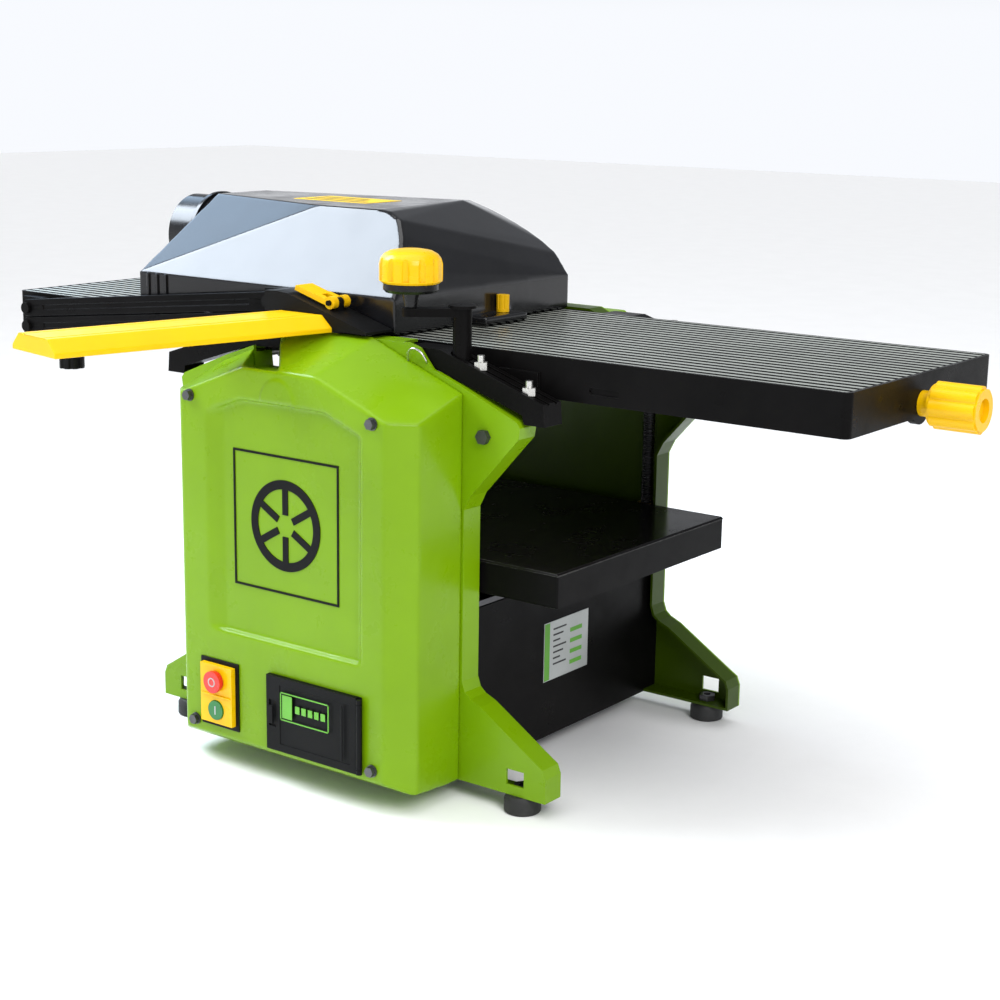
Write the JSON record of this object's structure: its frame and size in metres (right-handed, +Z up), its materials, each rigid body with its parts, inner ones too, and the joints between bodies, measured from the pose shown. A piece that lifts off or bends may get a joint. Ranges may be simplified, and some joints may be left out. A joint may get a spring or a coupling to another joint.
{
  "type": "thickness planer",
  "caption": "Benchtop thickness planer with long grooved surfacing tables, belt cover, dust hood, guard bar on a linked arm, crank-raised thicknessing table and rubber feet.",
  "frame": {"origin": "on the ground in the middle of the four feet", "axes": "+X along the tables towards the infeed end with the depth knob, -Y towards the operator and the belt cover, +Z up"},
  "size_m": [1.235, 0.7736, 0.619],
  "materials": {
    "green_paint": "lime green gloss paint",
    "black_paint": "satin black powder coat",
    "black_plastic": "black moulded plastic",
    "hood_plastic": "glossy black plastic",
    "yellow_plastic": "yellow plastic",
    "yellow_aluminium": "yellow powder coated aluminium",
    "table_aluminium": "machined aluminium with grooves",
    "bed_steel": "dark polished coating",
    "steel": "bright steel",
    "dark_steel": "oiled steel",
    "iron": "grey cast iron",
    "bronze": "bronze",
    "rubber": "black rubber",
    "motor_paint": "grey paint",
    "red_plastic": "red plastic",
    "start_plastic": "dark green plastic"
  },
  "bodies": {
    "casing": {"near_panel": "green_paint", "rear_panel": "green_paint", "cross_panels": "black_paint", "base_plate": "black_paint", "feet": "rubber", "foot_sleeves": "dark_steel", "belt_cover": "green_paint", "bolts": "dark_steel", "emblem": "black_plastic", "switch_plate": "black_plastic", "switch_housing": "yellow_plastic", "storage_box": "black_plastic", "right_ways": "black_paint", "left_ways": "black_paint", "way_studs": "steel", "outfeed_frame": "black_paint", "outfeed_top": "table_aluminium", "cross_beam": "black_paint", "bearing_housings": "iron", "drive_belt": "rubber", "motor": "motor_paint", "roller_blocks": "iron", "feed_chain": "dark_steel", "rear_cover": "green_paint", "finger_rod": "steel", "lift_chain": "dark_steel", "spindle_brackets": "iron", "arm_mount": "black_paint"},
    "stop_button": {"stop_button": "red_plastic"},
    "start_button": {"start_button": "start_plastic"},
    "storage_door": {"storage_door": "black_plastic"},
    "infeed_table": {"infeed_frame": "black_paint", "infeed_top": "table_aluminium"},
    "depth_control": {"depth_screw": "steel", "depth_knob": "yellow_plastic"},
    "depth_nut": {"depth_nut": "bronze"},
    "cutter_block": {"cutter_block": "steel"},
    "motor_rotor": {"motor_rotor": "steel"},
    "infeed_roller": {"infeed_roller": "steel"},
    "outfeed_roller": {"outfeed_roller": "steel"},
    "reduction_wheel": {"reduction_wheel": "dark_steel"},
    "kickback_fingers": {"kickback_fingers": "dark_steel"},
    "bed": {"bed": "black_paint", "bed_plate": "bed_steel", "bed_nuts": "bronze"},
    "crank": {"crank_spindle": "steel", "crank_arm": "black_paint"},
    "crank_knob": {"crank_knob": "yellow_plastic"},
    "rear_right_spindle": {"rear_right_spindle": "steel"},
    "near_left_spindle": {"near_left_spindle": "steel"},
    "rear_left_spindle": {"rear_left_spindle": "steel"},
    "hood": {"hood": "hood_plastic", "dust_port": "hood_plastic"},
    "latch_knob": {"latch_knob": "yellow_plastic"},
    "upper_link": {"upper_link": "black_paint"},
    "lower_link": {"lower_link": "black_paint"},
    "guard_head": {"guard_head": "black_plastic"},
    "guard_bar": {"guard_bar": "yellow_aluminium"},
    "clamp_lever": {"clamp_lever": "yellow_plastic"},
    "height_knob": {"height_knob": "black_plastic"}
  },
  "joints": [
    {"name": "bed_lift", "type": "slide", "parent": "casing", "child": "bed", "axis": [0, 0, 1], "range_m": [-0.005, 0.157]},
    {"name": "crank_turn", "type": "hinge", "parent": "casing", "child": "crank", "pos_m": [0.155, -0.186, 0.5], "axis": [0, 0, 1], "range_deg": [-902, 28262]},
    {"name": "rear_right_spindle_turn", "type": "hinge", "parent": "casing", "child": "rear_right_spindle", "pos_m": [0.155, 0.186, 0.3], "axis": [0, 0, 1], "range_deg": [-902, 28262]},
    {"name": "near_left_spindle_turn", "type": "hinge", "parent": "casing", "child": "near_left_spindle", "pos_m": [-0.155, -0.186, 0.3], "axis": [0, 0, 1], "range_deg": [-902, 28262]},
    {"name": "rear_left_spindle_turn", "type": "hinge", "parent": "casing", "child": "rear_left_spindle", "pos_m": [-0.155, 0.186, 0.3], "axis": [0, 0, 1], "range_deg": [-902, 28262]},
    {"name": "crank_knob_spin", "type": "hinge", "parent": "crank", "child": "crank_knob", "pos_m": [0.11551, -0.22283, 0.56], "axis": [0, 0, 1], "continuous": true},
    {"name": "infeed_table_slide", "type": "slide", "parent": "casing", "child": "infeed_table", "axis": [0.9521, 0, -0.3057], "range_m": [0, 0.0098]},
    {"name": "depth_knob_turn", "type": "hinge", "parent": "infeed_table", "child": "depth_control", "pos_m": [0.62, -0.005, 0.458], "axis": [1, 0, 0], "range_deg": [-2, 1766]},
    {"name": "depth_nut_float", "type": "slide", "parent": "casing", "child": "depth_nut", "axis": [0, 0, -1], "range_m": [-0.00001, 0.00301]},
    {"name": "cutter_spin", "type": "hinge", "parent": "casing", "child": "cutter_block", "pos_m": [0, 0, 0.46], "axis": [0, 1, 0], "continuous": true},
    {"name": "motor_spin", "type": "hinge", "parent": "casing", "child": "motor_rotor", "pos_m": [0.02, -0.2, 0.11], "axis": [0, 1, 0], "continuous": true},
    {"name": "reduction_wheel_spin", "type": "hinge", "parent": "casing", "child": "reduction_wheel", "pos_m": [0, 0.215, 0.4], "axis": [0, 1, 0], "continuous": true},
    {"name": "infeed_roller_spin", "type": "hinge", "parent": "casing", "child": "infeed_roller", "pos_m": [-0.072, 0, 0.4495], "axis": [0, 1, 0], "continuous": true},
    {"name": "outfeed_roller_spin", "type": "hinge", "parent": "casing", "child": "outfeed_roller", "pos_m": [0.072, 0, 0.4495], "axis": [0, 1, 0], "continuous": true},
    {"name": "kickback_swing", "type": "hinge", "parent": "casing", "child": "kickback_fingers", "pos_m": [-0.138, 0, 0.454], "axis": [0, -1, 0], "range_deg": [0, 25]},
    {"name": "guard_arm_lift", "type": "hinge", "parent": "casing", "child": "upper_link", "pos_m": [-0.538, -0.184, 0.471], "axis": [0, -1, 0], "range_deg": [0, 12]},
    {"name": "lower_link_lift", "type": "hinge", "parent": "casing", "child": "lower_link", "pos_m": [-0.538, -0.184, 0.4484], "axis": [0, -1, 0], "range_deg": [-0.05, 12.05]},
    {"name": "guard_head_level", "type": "hinge", "parent": "upper_link", "child": "guard_head", "pos_m": [-0.1208, -0.184, 0.51485], "axis": [0, -1, 0], "range_deg": [-12.05, 0.05]},
    {"name": "guard_bar_slide", "type": "slide", "parent": "guard_head", "child": "guard_bar", "axis": [-0.2079, -0.9781, 0], "range_m": [0, 0.014]},
    {"name": "clamp_lever_lift", "type": "hinge", "parent": "guard_head", "child": "clamp_lever", "pos_m": [-0.014, -0.1905, 0.5231], "axis": [0, 1, 0], "range_deg": [0, 80]},
    {"name": "height_knob_turn", "type": "hinge", "parent": "casing", "child": "height_knob", "pos_m": [-0.46, -0.185, 0.42], "axis": [0, 0, 1], "range_deg": [-180, 180]},
    {"name": "storage_door_swing", "type": "hinge", "parent": "casing", "child": "storage_door", "pos_m": [0.1175, -0.3075, 0.085], "axis": [0, 0, 1], "range_deg": [0, 100]},
    {"name": "stop_press", "type": "slide", "parent": "casing", "child": "stop_button", "axis": [0, 1, 0], "range_m": [0, 0.0025], "stiffness_N_per_m": 400, "springref_m": -0.002},
    {"name": "start_press", "type": "slide", "parent": "casing", "child": "start_button", "axis": [0, 1, 0], "range_m": [0, 0.0025], "stiffness_N_per_m": 400, "springref_m": -0.002},
    {"name": "hood_lift_off", "type": "slide", "parent": "casing", "child": "hood", "axis": [0, 0, 1], "range_m": [0, 0.12]},
    {"name": "latch_knob_turn", "type": "hinge", "parent": "hood", "child": "latch_knob", "pos_m": [0.054, 0.02, 0.505], "axis": [0, 0, 1], "range_deg": [-90, 90]}
  ],
  "couplings": [
    {"joint": "crank_turn", "follows": "bed_lift", "rad_per_m": 3141.6},
    {"joint": "rear_right_spindle_turn", "follows": "bed_lift", "rad_per_m": 3141.6},
    {"joint": "near_left_spindle_turn", "follows": "bed_lift", "rad_per_m": 3141.6},
    {"joint": "rear_left_spindle_turn", "follows": "bed_lift", "rad_per_m": 3141.6},
    {"joint": "depth_knob_turn", "follows": "infeed_table_slide", "rad_per_m": 3141.6},
    {"joint": "depth_nut_float", "follows": "infeed_table_slide", "ratio": 0.3057},
    {"joint": "motor_spin", "follows": "cutter_spin", "ratio": 0.65385},
    {"joint": "reduction_wheel_spin", "follows": "cutter_spin", "ratio": -0.25},
    {"joint": "infeed_roller_spin", "follows": "cutter_spin", "ratio": -0.125},
    {"joint": "outfeed_roller_spin", "follows": "cutter_spin", "ratio": -0.125},
    {"joint": "lower_link_lift", "follows": "guard_arm_lift", "ratio": 1},
    {"joint": "guard_head_level", "follows": "guard_arm_lift", "ratio": -1}
  ]
}
